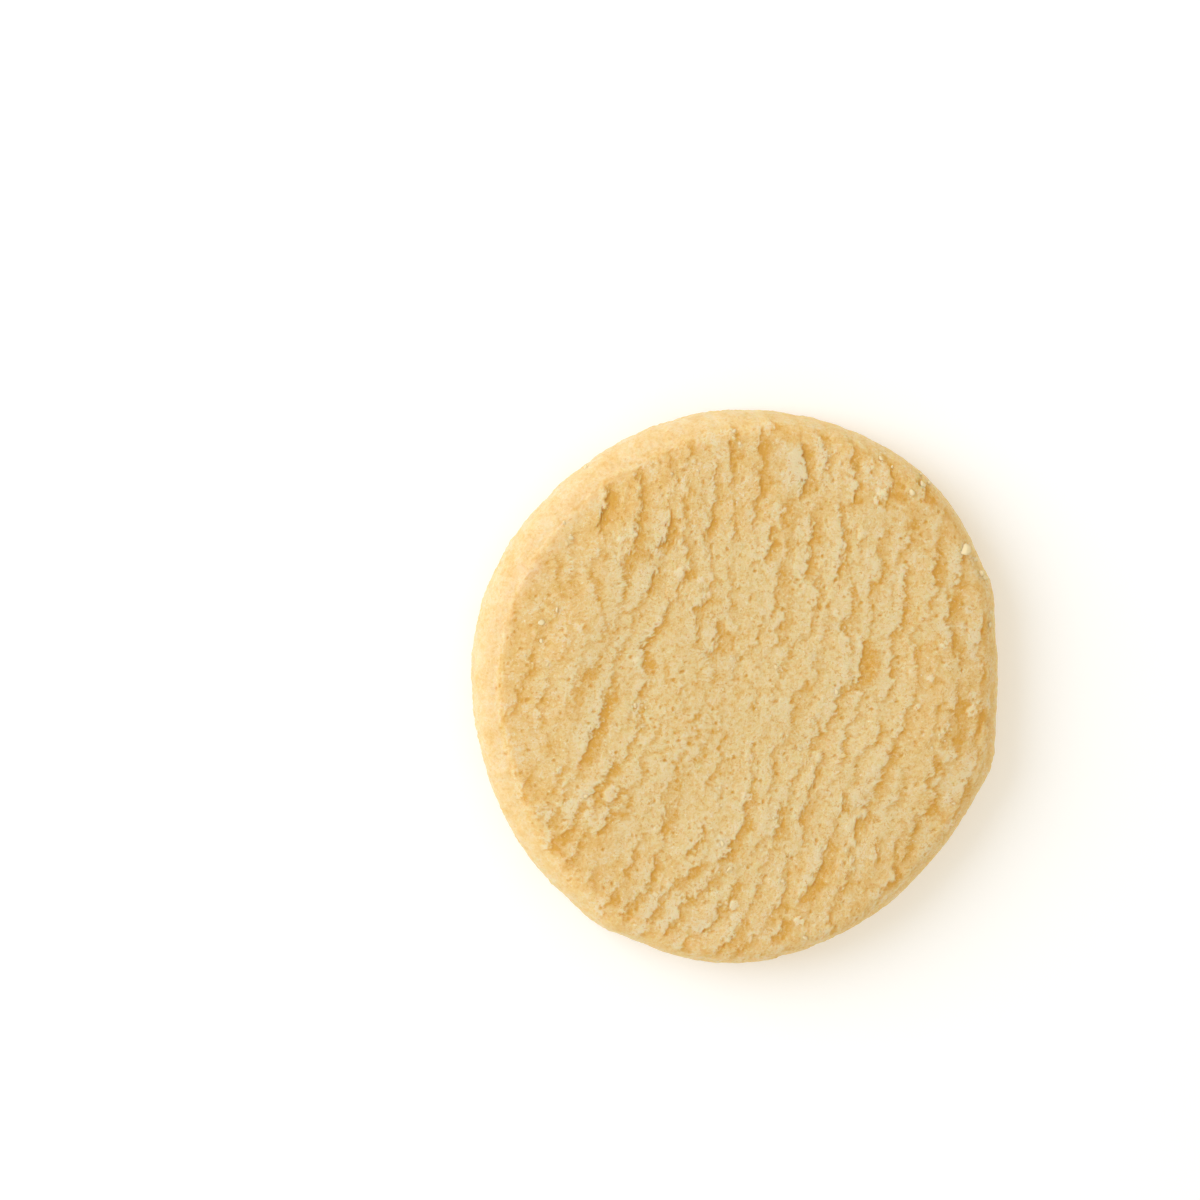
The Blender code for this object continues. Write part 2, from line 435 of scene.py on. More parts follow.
# in radii
flakeEdge = {"waver": [(0.45, 0.5, 33)], "fade": (1.15, 0.75)}


# share of a flake at each point, from 0 to 1, its border made uneven, and its height in mm
def flakeCover(x, y):
    share, height = np.zeros(x.shape), np.zeros(x.shape)
    waver = layered(x, y, flakeEdge["waver"])
    for flakeX, flakeY, radius, tall in flakes:
        away = np.hypot(x - flakeX, y - flakeY) / radius + waver
        cover = ease(*flakeEdge["fade"], away)
        share, height = np.maximum(share, cover), height + tall * cover
    return share, height


crumbShape = {
    "least": 0.4, "spread": 1.1,  # height of the lowest domes and how much more the tallest have
    "halfWidth": 0.75,  # cells from a dome's middle to its foot
    "mean": 0.45,  # taken off, so that the mean stays near 0
    "calm": 0.6, "crumbly": 0.9,  # share of the height where all is calm, and added in crumbly places
}


# crumb of the torn dough, in mm: lumps of three sizes packed side by side, each a dome that falls
# off with the square of the distance from its middle, some taller than others, and narrow pits
def crumb(x, y, crumbly):
    total = np.zeros(x.shape)
    for size, _, tall, seed in lumps:
        away, mark, _, _ = nearestLump(x, y, size, seed)
        dome = 1 - (away / crumbShape["halfWidth"]) ** 2
        total += tall * ((crumbShape["least"] + crumbShape["spread"] * mark) * dome - crumbShape["mean"])
    total *= crumbShape["calm"] + crumbShape["crumbly"] * crumbly
    return total - pinhole["depth"] * pinholes(x, y)


tornFace = {
    "waver": [(0.8, 2.5, 17), (0.6, 1.1, 18)],  # how the border of the smooth band wavers
    # mm inside that border
    "tornEdge": (-1.0, 1.9),  # where the surface becomes torn
    "ridgeEdge": (-0.8, 1.2),  # where the small ridges set in
    "tearEdge": (-1.2, 0.4),  # where the deep tears set in
    # mm across the ridges: the crumb is coarse before it and the ridges clear beyond it
    "clearEdge": (-22, -14),
    "clearWaver": [(4, 7, 44)],
    "patches": [(1, 3.0, 55)],  # crumbly patches, about their mean
    "patchMean": 0.15,
    "patchEdge": (-0.3, 0.6),  # where a patch sets in
    "coarseCrumb": 0.5,  # added to the patches where the crumb is coarse
    "slopeCrumb": 0.6,  # share of the crumbliness lost where the wire left
    "quietCrumb": 0.8,  # added in the quiet patch
    # shares of the small ridges lost beside a deep tear, in coarse crumb and in the quiet patch
    "tearRidges": 0.7,
    "coarseRidges": 0.3,
    "quietRidges": 0.45,
    "rimCrumb": 0.6,  # share of the crumb kept on the smooth rim
    "rimUneven": [(0.08, 1.9, 14), (0.06, 0.8, 15), (0.03, 0.4, 16)],
    "broad": [(0.20, 9, 3)],  # broad swells of the whole face
    "broadEdge": (0, 3),  # insets between which they set in
}


# a share that is kept on the smooth rim, rising to 1 where the face is torn
def kept(share, torn):
    return share + (1 - share) * torn


# how crumbly the face is, about 0: hills of one size about their mean
def crumblyPatches(x, y):
    return layered(x, y, tornFace["patches"]) + tornFace["patchMean"]


# the torn face in mm: height above its mean, and how torn it is, from 0 on the smooth rim to 1;
# a lump of crumb takes its height from its own middle, so that the ridges' edges break along lumps
def faceRelief(x, y, inset):
    lumpX, lumpY = x, y
    for size, share, _, seed in lumps:
        _, _, middleX, middleY = nearestLump(x, y, size, seed)
        lumpX, lumpY = lumpX + share * (middleX - x), lumpY + share * (middleY - y)
    across, along = ridgePlace(lumpX, lumpY)
    across = across + layered(across, along, ridges["fray"])
    small = ridges["height"] * readRaster(smallRidges, across, along)
    deep, near = deepTears(across, along)
    direction = np.arctan2(y, x)
    lumpInset = inset + np.hypot(x, y) - np.hypot(lumpX, lumpY)
    edge = lumpInset - smoothBand(direction) + layered(lumpX, lumpY, tornFace["waver"])
    torn = ease(*tornFace["tornEdge"], edge)
    coarse = 1 - ease(*tornFace["clearEdge"], across + layered(x, y, tornFace["clearWaver"]))
    quietness = quietPatch(x, y)
    crumbly = ease(*tornFace["patchEdge"], crumblyPatches(x, y) + tornFace["coarseCrumb"] * coarse)
    crumbly = crumbly * (1 - tornFace["slopeCrumb"] * fallShare("wireOut", direction, inset))
    crumbly = crumbly + tornFace["quietCrumb"] * quietness
    small = small * (1 - tornFace["tearRidges"] * near) * (1 - tornFace["coarseRidges"] * coarse)
    small = small * (1 - tornFace["quietRidges"] * quietness) * ease(*tornFace["ridgeEdge"], edge)
    relief = small + deep * ease(*tornFace["tearEdge"], edge) + flakeCover(x, y)[1]
    relief = relief + crumb(x, y, crumbly) * kept(tornFace["rimCrumb"], torn)
    relief = relief + layered(x, y, tornFace["rimUneven"]) * (1 - torn)
    return relief + layered(x, y, tornFace["broad"]) * ease(*tornFace["broadEdge"], inset), torn


granule = {"size": 0.42, "seed": 37, "height": 0.016, "soft": [(0.010, 0.4, 77)]}


# fine grain of the face, in mm: small rounded granules and a softer unevenness
def fineGrain(x, y):
    away, _, _, _ = clods(x, y, granule["size"], granule["seed"])
    return granule["height"] * (0.5 - away) + layered(x, y, granule["soft"])


bakingAndShade = {
    "insets": (13, 3),  # between which it sets in
    "mean": 0.75,
    "swing": 0.25,  # how much more the torn crumb is baked on one side, and the crust opposite: painted shade
    "towards": 150,  # degrees round from +X: that side
    "waver": [(7, 8, 47), (3, 3, 48)],
}


# how baked the dough is, from 0 to 1: eased in towards the rim, times a mean and a cosine of the
# direction; on the crust the cosine paints shade on the side away from the lamp
def bakedShare(direction, inset, torn):
    towards = np.cos(direction - math.radians(bakingAndShade["towards"]))
    return ease(*bakingAndShade["insets"], inset) * (bakingAndShade["mean"] + bakingAndShade["swing"] * (2 * torn - 1) * towards)


# shade is each lump's own random tone; dome, level and border give painted shade in the creases
lumpTonesAndShade = {"shade": 0.8, "dome": 0.5, "level": 0.4, "border": 0.9, "borderEdge": (0.5, 0.75)}


# tone of the lumps about 0: each size has its own random shades, the dough's own tone, and is
# darker away from the level, in cells from its middle, and once more at its border: painted shade
# in the creases between the lumps
def lumpToneAndShade(x, y):
    total = np.zeros(x.shape)
    for size, _, _, seed in lumps:
        away, mark, _, _ = nearestLump(x, y, size, seed)
        # the mark is the lump's own tone; darker away from its middle and at its border is painted shade
        total += lumpTonesAndShade["shade"] * (mark - 0.5) + lumpTonesAndShade["dome"] * (lumpTonesAndShade["level"] - away)
        total -= lumpTonesAndShade["border"] * ease(*lumpTonesAndShade["borderEdge"], away)
    # darker in the pinholes: painted shade
    return total - pinhole["darkness"] * pinholes(x, y)


# painted shadow below the edges and painted highlight before them: step of the raster, how far an
# edge is felt, fall in mm for each mm, and softness in cells
shadowAndHighlightLines = {"step": 0.136, "reach": 2.6, "fall": 0.062, "softness": 0.7}


# rasters across and along, in mm: how far the surface lies below a line that falls gently from
# the highest edge behind it, the depth of the painted shadow, and how far it stands above such a
# line to whatever lies ahead, the height of the painted highlight
def shadowAndHighlightRasters():
    half, step = ridges["rasterHalf"], shadowAndHighlightLines["step"]
    line = np.arange(round(2 * half / step)) * step + step / 2 - half
    across, along = np.meshgrid(line, line)
    heading = math.radians(ridges["heading"])
    x = across * math.cos(heading) - along * math.sin(heading)
    y = across * math.sin(heading) + along * math.cos(heading)
    inset = outline(np.arctan2(y, x)) - np.hypot(x, y)
    relief, _ = faceRelief(x, y, inset)
    behind, ahead = relief, relief
    for k in range(1, round(shadowAndHighlightLines["reach"] / step)):
        fallen = shadowAndHighlightLines["fall"] * k * step
        behind = np.maximum(behind, np.roll(relief, k, axis=1) - fallen)
        ahead = np.minimum(ahead, np.roll(relief, -k, axis=1) + fallen)
    return soften(behind - relief, shadowAndHighlightLines["softness"]), soften(relief - ahead, shadowAndHighlightLines["softness"])


# what makes the dough paler, above 0, or browner, below 0: painted shadow below the edges, painted
# highlight on the crests, painted shade in the creases, and the dough's own tone
shades = {
    "clearance": 0.016,  # mm under or over an edge's line that have no effect
    # painted shadow below the edges, from the depth under an edge's line
    "under": (2.0, 0.18),  # the most, and the mm at which it is half as much
    # painted highlight on the crests before the edges, from the height over a line
    "crest": (0.80, 0.16),
    # on one side the crests towards the rim lose this share of their painted highlight
    "warmCrests": 0.8,
    "warmTowards": 150,  # degrees round from +X
    "warmCosines": (0.2, 0.9),
    "warmInsets": (11, 5),
    "curveLight": 5,  # painted highlight and shade: for each mm that a place stands out, or sinks in
    "curveLightBlur": 1.3,  # cells
    "curveLightLimits": (-0.35, 0.45),
    "lumps": 0.16,  # share of the lumps' tone and painted shade
    "quietLumps": 0.14,  # how much more in the quiet patch
    "lumpMean": 0.2,
    "rimLumps": 0.7,  # share of it on the smooth rim
    "flakes": 0.45,
    "patches": [(0.36, 5.5, 134), (0.45, 2.4, 131), (0.27, 1.1, 132)],
    "patchInsets": (15, 3),
    "rimPatches": 0.6,  # share of them on the smooth rim
}


# tone of the face about 0, and its crests in mm: painted shadow, a depth d under an edge's line,
# and painted highlight, a height d over a line, count as d / (d + half); painted highlight and
# shade from the crispness of the relief, the lumps' tone and painted shade, flakes and broad
# patches are added
def faceShade(x, y, direction, inset, relief, torn):
    across, along = turnToWire(x, y)
    under, crest = (readRaster(raster, across, along) for raster in shadowAndHighlightRasters())
    under, crest = (np.clip(depth - shades["clearance"], 0, None) for depth in (under, crest))
    warm = ease(*shades["warmCosines"], np.cos(direction - math.radians(shades["warmTowards"])))
    warm = shades["warmCrests"] * warm * ease(*shades["warmInsets"], inset)
    shadowMost, shadowHalf = shades["under"]
    highlightMost, highlightHalf = shades["crest"]
    # painted highlight where the relief stands out, painted shade in its creases
    shade = np.clip(shades["curveLight"] * (relief - soften(relief, shades["curveLightBlur"])), *shades["curveLightLimits"])
    # painted highlight on the crests, held back on one side, and painted shadow below the edges
    shade = shade + highlightMost * (1 - warm) * crest / (crest + highlightHalf) - shadowMost * under / (under + shadowHalf)
    lumpShare = shades["lumps"] + shades["quietLumps"] * quietPatch(x, y)
    lumpShare = lumpShare * kept(shades["rimLumps"], torn)
    # the lumps' own tone and their painted shade in the creases
    shade = shade + lumpShare * (lumpToneAndShade(x, y) + shades["lumpMean"])
    shade = shade + shades["flakes"] * flakeCover(x, y)[0]
    patchShare = kept(shades["rimPatches"], torn) * ease(*shades["patchInsets"], inset)
    return shade + patchShare * layered(x, y, shades["patches"]), crest


# the face: a disc grid out to where the side's rings begin, lifted along the normal by its relief
def buildFace():
    discX, discY = discGrid(body["faceCells"])
    direction = np.arctan2(discY, discX)
    radius = outline(direction)
    edgeInset = sideProfile(np.array(math.radians(body["gridEdge"])))[0]
    distance = np.hypot(discX, discY) * (radius - edgeInset)
    inset = radius - distance
    x, y = polar(distance, direction)
    _, height, outwards, upwards = sideProfile(shoulderAngle(inset))
    relief, torn = faceRelief(x, y, inset)
    shade, crest = faceShade(x, y, direction, inset, relief, torn)
    baked = bakedShare(direction, inset + layered(x, y, bakingAndShade["waver"]), torn)
    raised = relief - fallAway(direction, inset) + fineGrain(x, y)
    points = around(distance + raised * outwards, direction, height + raised * upwards)
    return {"points": points, "direction": direction, "torn": torn, "baked": baked,
            "shade": shade, "crest": crest}


# angles of the rings between two angles, half way between even steps of angle and of height
def ringAngles(start, end, count):
    even = np.linspace(start, end, count + 1)[1:]
    power = 2 / body["roundness"]
    rises = [math.copysign(abs(math.sin(angle)) ** power, angle) for angle in (start, end)]
    rise = np.linspace(*rises, count + 1)[1:]
    return (even + np.sign(rise) * np.arcsin(np.abs(rise) ** (1 / power))) / 2


# layers of noise on the side by direction and height: over the last mm of a turn they pass into
# the noise that the next turn begins with, so that its two ends meet
def sideLayers(direction, height, layers):
    arc, turnLength = direction * body["sideRadius"], 2 * math.pi * body["sideRadius"]
    share = ease(turnLength / 2 - body["sideOverlap"], turnLength / 2, arc)
    return (1 - share) * layered(arc, height, layers) + share * layered(arc - turnLength, height, layers)


# rings down the side, one point in each of the given directions: the profile lifted along its
# normal by bumps, which pass into the relief of the face
def buildSide(turn):
    angles = np.concatenate([
        ringAngles(math.radians(body["gridEdge"]), 0, body["shoulderRings"]),
        ringAngles(0, -math.pi / 2, body["footRings"]),
    ])
    angle, direction = np.meshgrid(angles, turn, indexing="ij")
    degrees = np.degrees(angle)
    inset, height, outwards, upwards = sideProfile(angle)
    distance = outline(direction) - inset
    relief, torn = faceRelief(*polar(distance, direction), inset)
    bumps = sideLayers(direction, height, body["sideBumps"]) * ease(*body["bumpEdge"], degrees)
    reach = ease(*body["reliefEdge"], degrees)
    raised = bumps * (1 - reach) + relief * reach
    raised = raised - fallAway(direction, inset) * ease(body["fallEdge"], body["gridEdge"], degrees)
    points = around(distance + raised * outwards, direction, height + raised * upwards)
    tone = sideLayers(direction, height, body["sideTones"])
    return points, torn * ease(*body["tornEdge"], degrees), tone


underside = {
    "ring": 0.985, "grid": 0.96,  # radii of the ring at half density and of the grid, as shares
    "dimple": 0.20,
    "dimples": [(1, 2.2, 71)],
    "dimpleEdge": (0.15, 0.7),
    "flatRim": 2,  # the dimples fade over this much at the edge of the grid
    "radius": 29,
    "tone": -0.35,
    "rimTone": -0.3,  # how much browner the rim is
    "rimEdge": (0.8, 1),
    "tones": [(0.40, 3.5, 74)],
    "dimpleShade": -1.5,  # painted shade in the dimples, for each mm of a dimple
}


# the base: a ring with half as many points as the side, and a flat grid with shallow dimples
# where the hills are high
def buildBase(turn):
    halfTurn = turn[::2]
    ring = underside["ring"] * (outline(halfTurn) - body["footDepth"])
    ring = around(ring, halfTurn, ring * 0)
    discX, discY = discGrid(body["faceCells"] // 4)
    direction, share = np.arctan2(discY, discX), np.hypot(discX, discY)
    distance = share * (outline(direction) - body["footDepth"]) * underside["grid"]
    x, y = polar(distance, direction)
    dimples = underside["dimple"] * ease(*underside["dimpleEdge"], layered(x, y, underside["dimples"]))
    height = dimples * ease(0, underside["flatRim"], (1 - share) * underside["radius"])
    tone = underside["tone"] + underside["rimTone"] * ease(*underside["rimEdge"], share)
    # darker in the dimples: painted shade
    tone = tone + layered(x, y, underside["tones"]) + underside["dimpleShade"] * dimples
    return ring, np.stack([x, y, height], axis=-1), tone


# quads of a grid of point numbers, seen against the clock from above
def quadsOf(index):
    corners = [index[:-1, :-1], index[:-1, 1:], index[1:, 1:], index[1:, :-1]]
    return np.stack(corners, axis=-1).reshape(-1, 4)


# quads between closed rings of point numbers, upper and lower, facing outwards
def quadsBetween(upper, lower):
    corners = [upper, lower, np.roll(lower, -1, axis=1), np.roll(upper, -1, axis=1)]
    return np.stack(corners, axis=-1).reshape(-1, 4)


# triangles between a closed ring and an inner one with half as many points, facing down
def halve(outer, inner):
    k = np.arange(len(inner))
    a, b, c = outer[2 * k], outer[2 * k + 1], outer[(2 * k + 2) % len(outer)]
    p, q = inner[k], inner[(k + 1) % len(inner)]
    return np.concatenate([np.stack([a, p, b], -1), np.stack([b, p, q], -1), np.stack([b, q, c], -1)])


# one closed mesh: the face's grid, rings down the side, a ring at half density, and a coarser grid
# on the base, whose border has half as many points again
def buildBody(face):
    border = borderOf(body["faceCells"])
    turn = face["direction"][border]
    side, sideTorn, sideTone = buildSide(turn)
    ring, base, baseTone = buildBase(turn)
    parts = [face["points"], side, ring, base]
    starts = np.cumsum([0] + [part[..., 0].size for part in parts])
    faceIndex, sideIndex, ringIndex, baseIndex = (
        start + np.arange(part[..., 0].size).reshape(part.shape[:-1]) for start, part in zip(starts, parts))
    points = np.concatenate([part.reshape(-1, 3) for part in parts])

    loops = np.concatenate([faceIndex[border][None], sideIndex])
    quads = [quadsOf(faceIndex), quadsBetween(loops[:-1], loops[1:]), quadsOf(baseIndex)[:, ::-1]]
    baseBorder = baseIndex[borderOf(len(baseIndex) - 1)]
    triangles = [halve(sideIndex[-1], ringIndex), halve(ringIndex, baseBorder)]

    # the crust is paler on the lamp's side and browner away from it: painted shade
    baked = bakedShare(np.arctan2(points[:, 1], points[:, 0]), 0, 0)
    baked[:faceIndex.size] = face["baked"].ravel()
    smooth = np.zeros(ringIndex.size + baseIndex.size)
    plain = np.zeros(ringIndex.size)
    marks = {
        "torn": np.concatenate([face["torn"].ravel(), sideTorn.ravel(), smooth]),
        "baked": baked,
        "shade": np.concatenate([face["shade"].ravel(), sideTone.ravel(), plain, baseTone.ravel()]),
    }
    return points, np.concatenate(quads), np.concatenate(triangles), marks


# a mesh object from points in mm, quads and triangles
def meshObject(name, points, quads, triangles):
    mesh = bpy.data.meshes.new(name)
    mesh.vertices.add(len(points))
    mesh.vertices.foreach_set("co", (points * mm).astype(np.float32).ravel())
    corners = np.concatenate([quads.ravel(), triangles.ravel()]).astype(np.int32)
    starts = np.concatenate([np.arange(len(quads)) * 4, quads.size + np.arange(len(triangles)) * 3])
    mesh.loops.add(len(corners))
    mesh.loops.foreach_set("vertex_index", corners)
    mesh.polygons.add(len(starts))
    mesh.polygons.foreach_set("loop_start", starts.astype(np.int32))
    mesh.update(calc_edges=True)
    mesh.validate()
    mesh.shade_smooth()
    thing = bpy.data.objects.new(name, mesh)
    bpy.context.scene.collection.objects.link(thing)
    return thing


# numbers that vary over a mesh, one for each point
def setMarks(thing, marks):
    for name, values in marks.items():
        attribute = thing.data.attributes.new(name, "FLOAT", "POINT")
        attribute.data.foreach_set("value", values.astype(np.float32))


ground = buildFace()
print("face ready")
crustPoints, quads, triangles, marks = buildBody(ground)
crust = meshObject("crust", crustPoints, quads, triangles)
setMarks(crust, marks)
print("crust:", len(quads) * 2 + len(triangles), "triangles")


# a ball of unit radius: rings of points between two poles, as directions and triangles
def ball(segments, rings):
    up = np.pi * (np.arange(rings) + 1) / (rings + 1) - np.pi / 2
    turn = 2 * np.pi * np.arange(segments) / segments
    level, turn = np.meshgrid(up, turn, indexing="ij")
    turn = turn + np.pi / segments * np.arange(rings)[:, None]
    ringPoints = np.stack([np.cos(level) * np.cos(turn), np.cos(level) * np.sin(turn), np.sin(level)], -1)
    directions = np.concatenate([[[0, 0, -1]], ringPoints.reshape(-1, 3), [[0, 0, 1]]])
    index = 1 + np.arange(rings * segments).reshape(rings, segments)
    after = np.roll(index, -1, axis=1)
    low = np.stack([0 * index[0], after[0], index[0]], -1)
    top = np.stack([0 * index[-1] + len(directions) - 1, index[-1], after[-1]], -1)
    first = np.stack([index[:-1], after[:-1], index[1:]], -1).reshape(-1, 3)
    second = np.stack([after[:-1], after[1:], index[1:]], -1).reshape(-1, 3)
    return directions, np.concatenate([low, first, second, top])


# turns for many things at once, as matrices from random unit quaternions
def randomTurns(random, count):
    quaternions = random.normal(size=(4, count))
    w, x, y, z = quaternions / np.linalg.norm(quaternions, axis=0)
    rows = [
        [1 - 2 * (y * y + z * z), 2 * (x * y - w * z), 2 * (x * z + w * y)],
        [2 * (x * y + w * z), 1 - 2 * (x * x + z * z), 2 * (y * z - w * x)],
        [2 * (x * z - w * y), 2 * (y * z + w * x), 1 - 2 * (x * x + y * y)],
    ]
    return np.moveaxis(np.array(rows), -1, 0)


# lumps at the given centres, joined into one mesh: each is the ball cut by random planes, so that
# it is angular, stretched along three axes, turned at random and flattened
def scatter(name, kind, centre, radius, marks):
    random = np.random.default_rng(kind["seed"])
    count = len(centre)
    directions, faces = ball(kind["segments"], kind["rings"])
    normals = random.normal(size=(count, kind["cuts"], 3))
    normals /= np.linalg.norm(normals, axis=2, keepdims=True)
    depths = random.uniform(kind["cutDepth"], 1, (count, 1, kind["cuts"]))
    towards = np.maximum(directions @ normals.transpose(0, 2, 1), 0.01)  # no plane cuts from behind
    cut = np.minimum((depths / towards).min(axis=2), 1)
    stretch = random.uniform(1 - kind["uneven"], 1 + kind["uneven"], (count, 1, 3))
    shape = directions[None] * cut[..., None] * stretch * radius[:, None, None]
    shape = np.einsum("nij,nvj->nvi", randomTurns(random, count), shape)
    shape[..., 2] *= kind["flat"]
    points = (shape + centre[:, None]).reshape(-1, 3)
    triangles = (faces[None] + np.arange(count)[:, None, None] * len(directions)).reshape(-1, 3)
    thing = meshObject(name, points, np.zeros((0, 4), int), triangles)
    setMarks(thing, {mark: np.repeat(values, len(directions)) for mark, values in marks.items()})
    print(name + ":", count, "pieces,", len(triangles), "triangles")
    return thing


looseCrumb = {
    "count": 40, "segments": 14, "rings": 9, "seed": 402, "seedOfPlaces": 403,
    "radius": (0.15, 0.40),
    "rarity": 2.4,  # the higher, the rarer the large ones
    "uneven": 0.35, "cuts": 9, "cutDepth": 0.5, "flat": 0.5,
    "sunk": 0.05,  # how far the middle lies below the surface, in radii
    "tries": 12,  # places tried for each crumb
    "chance": 0.10,  # of a place on the torn face
    "crestChance": 0.6,  # how much more on a crest
    "crestEdge": (0.02, 0.12), # height of a crest between which that sets in
    "patchChance": 0.25,  # how much more in a crumbly patch
    "patchEdge": (-0.2, 0.5),
}


# loose crumbs keep to the torn edges and to crumbly patches; the radius is spread evenly on a
# ratio scale and bent towards the small end
def placeLooseCrumbs():
    random = np.random.default_rng(looseCrumb["seedOfPlaces"])
    last = body["faceCells"] - 0.001  # just inside the last row and column
    rows, columns = random.uniform(0, last, (2, looseCrumb["count"] * looseCrumb["tries"]))
    crest, torn, baked = (readGrid(ground[key], rows, columns) for key in ("crest", "torn", "baked"))
    centre = readGrid(ground["points"], rows, columns)
    onCrest = ease(*looseCrumb["crestEdge"], crest)
    inPatch = ease(*looseCrumb["patchEdge"], crumblyPatches(centre[:, 0], centre[:, 1]))
    chance = looseCrumb["chance"] + looseCrumb["crestChance"] * onCrest + looseCrumb["patchChance"] * inPatch
    taken = np.flatnonzero(random.uniform(0, 1, len(rows)) < torn * chance)[:looseCrumb["count"]]
    small, large = looseCrumb["radius"]
    radius = small * (large / small) ** (random.uniform(0, 1, len(taken)) ** looseCrumb["rarity"])
    tone = random.uniform(0, 1, len(taken))
    centre = centre[taken] - np.array([0, 0, 1]) * (radius * looseCrumb["sunk"])[:, None]
    marks = {"baked": baked[taken], "torn": torn[taken], "tone": tone}
    return scatter("looseCrumbs", looseCrumb, centre, radius, marks)


looseCrumbs = placeLooseCrumbs()

edgeCrumb = {
    "segments": 14, "rings": 9, "seed": 411,
    "uneven": 0.4, "cuts": 12, "cutDepth": 0.4, "flat": 0.75,
    "standing": 0.25,  # how far the middle stands off the surface, in radii
    "leastInset": 0.15,
    # x, y and radius of each
    "places": [
        (24.1, 15.2, 0.65), (25.6, 14.0, 0.32), (26.4, 12.5, 0.59), (26.8, 12.0, 0.35), (20.2, 22.4, 0.35),
        (19.4, 23.2, 0.27), (19.1, 22.3, 0.49), (18.1, 21.6, 0.32), (27.4, 6.9, 0.32), (27.5, 8.3, 0.35),
        (25.2, 14.3, 0.20), (-22.4, 7.9, 0.35), (-20.8, 9.2, 0.38), (-17.0, 24.2, 0.32), (-19.2, 16.9, 0.30),
        (-19.9, 18.5, 0.20), (21.4, -4.9, 0.22), (22.0, -5.6, 0.16), (20.6, -6.3, 0.18), (23.3, -12.4, 0.24),
        (6.9, -26.9, 0.32), (8.4, -26.2, 0.24), (14.6, 25.1, 0.27), (15.9, 24.3, 0.22), (-1.6, 28.2, 0.24),
    ],
}


# pale crumbs caught on the rim and on the shoulder, each at the nearest point of the crust and
# then a little out along the normal
def placeEdgeCrumbs():
    x, y, radius = np.array(edgeCrumb["places"]).T
    direction = np.arctan2(y, x)
    inset = np.maximum(outline(direction) - np.hypot(x, y), edgeCrumb["leastInset"])
    distance = outline(direction) - inset
    _, height, outwards, upwards = sideProfile(shoulderAngle(inset))
    height = height - fallAway(direction, inset)
    wanted, normal = around(distance, direction, height), around(outwards, direction, upwards)
    away = np.linalg.norm(crustPoints[None] - wanted[:, None], axis=-1)
    centre = crustPoints[away.argmin(axis=1)] + normal * (radius * edgeCrumb["standing"])[:, None]
    level = np.ones(len(x))
    baked = bakedShare(direction, inset, level)
    return scatter("edgeCrumbs", edgeCrumb, centre, radius, {"baked": baked, "torn": level, "tone": level})


edgeCrumbs = placeEdgeCrumbs()

dough = {
    "crumbColour": (0.777, 0.598, 0.293),  # torn crumb in the middle of the face
    "bakedColour": (0.785, 0.545, 0.222),  # torn crumb towards the rim and in browner patches
    "crustColour": (0.790, 0.588, 0.355),  # smooth rim, side and base
    "brownAndShadedColour": (0.800, 0.565, 0.212),  # the same where it is most baked, and painted shade on the side away from the lamp
    "amberShadeColour": (0.715, 0.395, 0.072),  # painted shadow below the torn edges and painted shade in creases, with the darker tone of the dough
    "pitColour": (0.660, 0.330, 0.060),  # hairlines
    "sugarColour": (0.860, 0.790, 0.610),  # specks of sugar
    "paleHighlightColour": (0.795, 0.660, 0.408),  # painted highlight on crests and edges, with the paler crumb that stands out
    "looseColour": (0.805, 0.665, 0.385),  # loose crumbs
    "speckle": 2.95,  # share of the grain in the tone
    "amberShadeTone": -1.15,  # the tone that is all amber shade colour
    "paleHighlightTone": 0.7,  # the tone that is all pale highlight colour
    "sugarEdge": (0.14, 0.21),  # speckle at which sugar sets in
    "sugarShare": 0.8,
    "hairShare": 0.75,
    "looseShare": 0.3,  # share of the loose colour in the dullest crumb
    "roughness": 0.75,
    "specular": 0.3,
    "glow": 0.8,  # subsurface share
    "glowReach": (1.6, 1.0, 0.55),  # mm, red, green, blue
    "bump": 0.105,
    "crumbBump": 0.05,
}

grain = {
    "cell": 0.32, "crumbCell": 0.30,  # on the crust and on the crumbs
    "detail": 3.0, "roughness": 0.85,
    "rimSpeckle": 0.75,  # share of the speckle on the smooth rim
    "hairCells": 0.4,  # scale of the hairlines' noise, as a share of the speckle's
    "hairWidth": 0.035,  # of that noise
    "hairEdge": (0.02, -0.06), # speckle at which the hairlines set in
    "rimHairs": 0.4,  # share of the hairlines on the smooth rim
}


# values or links into a node's sockets, by name or number; a colour gets an alpha of 1
def feed(tree, node, values):
    for name, value in values.items():
        socket = node.inputs[name]
        if isinstance(value, bpy.types.NodeSocket):
            tree.links.new(value, socket)
        elif socket.type == "RGBA":
            socket.default_value = (*value, 1)
        else:
            socket.default_value = value


# the first colour where the share is 0, the second where it is 1, and a straight blend between
def mixColour(tree, share, first, second):
    node = tree.nodes.new("ShaderNodeMix")
    node.data_type = "RGBA"
    feed(tree, node, {0: share, 6: first, 7: second})
    return node.outputs[2]


# a value carried from one range to another, eased by 3t^2 - 2t^3 or straight, and held at the ends
def mapRange(tree, value, low, high, toLow=0.0, toHigh=1.0, kind="SMOOTHSTEP"):
    node = tree.nodes.new("ShaderNodeMapRange")
    node.interpolation_type = kind
    feed(tree, node, {"Value": value, "From Min": low, "From Max": high, "To Min": toLow, "To Max": toHigh})
    return node.outputs[0]


# values put together as the kind says: their product, difference and so on
def calculate(tree, kind, *values):
    node = tree.nodes.new("ShaderNodeMath")
    node.operation = kind
    feed(tree, node, dict(enumerate(values)))
    return node.outputs[0]


# noise from 0 to 1 with so many cells to the metre, each further detail twice as fine and weaker
# by the roughness
def noise(tree, place, scale, detail, roughness):
    node = tree.nodes.new("ShaderNodeTexNoise")
    feed(tree, node, {"Vector": place, "Scale": scale, "Detail": detail, "Roughness": roughness})
    return node.outputs["Fac"]


# one of the numbers that vary over the mesh
def attribute(tree, name):
    node = tree.nodes.new("ShaderNodeAttribute")
    node.attribute_name = name
    return node.outputs["Fac"]


